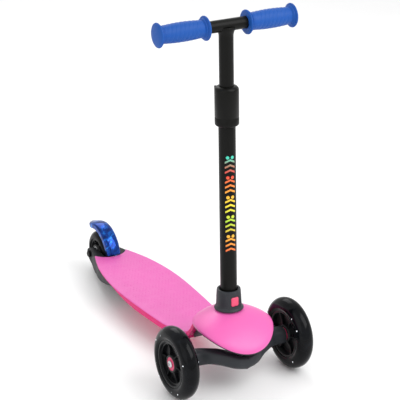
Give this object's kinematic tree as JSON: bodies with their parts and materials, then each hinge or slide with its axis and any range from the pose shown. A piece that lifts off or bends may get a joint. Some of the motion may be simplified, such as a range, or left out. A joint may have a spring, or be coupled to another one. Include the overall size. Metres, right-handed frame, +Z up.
{
  "type": "kick scooter",
  "caption": "Child's kick scooter that steers by leaning: broad nose with a wheel each side, flat board, small braked rear wheel, and a T-bar that slides to height and lifts out.",
  "frame": {"origin": "on the ground, at the middle of the scooter's overall length and width", "axes": "+Z up, -Y the way it rides, +X to the rider's left"},
  "size_m": [0.2418, 0.593, 0.6094],
  "materials": {
    "pink_plastic": "satin moulded plastic with a faint raised pattern on top",
    "light_pink_plastic": "satin",
    "graphite_plastic": "fine matt texture",
    "coral_plastic": "satin",
    "black_paint": "satin powder coat",
    "smoked_tyre": "glossy smoked polyurethane",
    "black_core": "satin",
    "blue_rubber": "matt soft rubber",
    "candy_blue": "glossy pearl lacquer",
    "nylon": "plain",
    "light_plastic": "smoked clear ring with white lamps",
    "steel": "bright zinc"
  },
  "bodies": {
    "deck": {"deck_board": "pink_plastic", "nose_shell": "light_pink_plastic", "steering_housing": "graphite_plastic", "rear_carrier": "graphite_plastic", "kingpin": "steel", "kingpin_nut": "steel", "steering_spring": "steel", "thrust_washer": "steel", "stem_collar": "graphite_plastic", "button_spring": "steel", "rear_axle_bolt": "black_paint", "rear_axle_nut": "black_paint", "rear_axle_washer_left": "steel", "rear_axle_washer_right": "steel", "fender_pin": "steel", "fender_spring": "steel", "carrier_screw_front_left": "steel", "carrier_screw_front_right": "steel", "carrier_screw_rear_left": "steel", "carrier_screw_rear_right": "steel", "housing_screw_left": "steel", "housing_screw_right": "steel"},
    "front_beam": {"front_beam": "graphite_plastic", "beam_bush_upper": "nylon", "beam_bush_lower": "nylon", "front_axle_bolt_left": "steel", "front_axle_bolt_right": "steel", "front_axle_washer_left": "steel", "front_axle_washer_right": "steel"},
    "front_wheel_left": {"tyre_front_left": "smoked_tyre", "wheel_core_front_left": "black_core", "bearing_front_left_outer": "steel", "bearing_front_left_inner": "steel", "bearing_spacer_front_left": "steel", "light_ring_left": "light_plastic"},
    "front_wheel_right": {"tyre_front_right": "smoked_tyre", "wheel_core_front_right": "black_core", "bearing_front_right_outer": "steel", "bearing_front_right_inner": "steel", "bearing_spacer_front_right": "steel", "light_ring_right": "light_plastic"},
    "rear_wheel": {"tyre_rear": "smoked_tyre", "wheel_core_rear": "black_core", "bearing_rear_outer": "steel", "bearing_rear_inner": "steel", "bearing_spacer_rear": "steel"},
    "rear_brake": {"brake_fender": "candy_blue", "brake_pad": "black_core"},
    "release_button": {"release_button": "coral_plastic"},
    "stem": {"lower_tube": "black_paint", "clamp_sleeve": "black_paint", "slide_bush": "nylon", "lever_pin": "steel"},
    "handlebar": {"tee_bar": "black_paint", "tube_guide": "nylon", "grip_left": "blue_rubber", "grip_right": "blue_rubber"},
    "clamp_lever": {"clamp_lever": "graphite_plastic"}
  },
  "joints": [
    {"name": "lean_steer", "type": "hinge", "parent": "deck", "child": "front_beam", "pos_m": [0, -0.2475, 0.058], "axis": [0, -0.5736, 0.8192], "range_deg": [-14, 14], "stiffness_Nm_per_rad": 8},
    {"name": "front_wheel_left_spin", "type": "hinge", "parent": "front_beam", "child": "front_wheel_left", "pos_m": [0.1064, -0.2335, 0.06], "axis": [1, 0, 0], "continuous": true},
    {"name": "front_wheel_right_spin", "type": "hinge", "parent": "front_beam", "child": "front_wheel_right", "pos_m": [-0.1064, -0.2335, 0.06], "axis": [1, 0, 0], "continuous": true},
    {"name": "rear_wheel_spin", "type": "hinge", "parent": "deck", "child": "rear_wheel", "pos_m": [0, 0.2565, 0.04], "axis": [1, 0, 0], "continuous": true},
    {"name": "rear_brake_press", "type": "hinge", "parent": "deck", "child": "rear_brake", "pos_m": [0, 0.2075, 0.0445], "axis": [-1, 0, 0], "range_deg": [0, 4.2], "stiffness_Nm_per_rad": 1.2, "springref_deg": -6.88},
    {"name": "release_button_press", "type": "slide", "parent": "deck", "child": "release_button", "axis": [0, 0.9995, -0.0332], "range_m": [0, 0.002], "stiffness_N_per_m": 400, "springref_m": -0.002},
    {"name": "stem_lift_out", "type": "slide", "parent": "deck", "child": "stem", "axis": [0, 0.0332, 0.9995], "range_m": [0, 0.1]},
    {"name": "handlebar_height", "type": "slide", "parent": "stem", "child": "handlebar", "axis": [0, 0.0332, 0.9995], "range_m": [-0.06, 0.1]},
    {"name": "clamp_lever_flip", "type": "hinge", "parent": "stem", "child": "clamp_lever", "pos_m": [0, -0.18444, 0.48215], "axis": [1, 0, 0], "range_deg": [0, 110]}
  ]
}
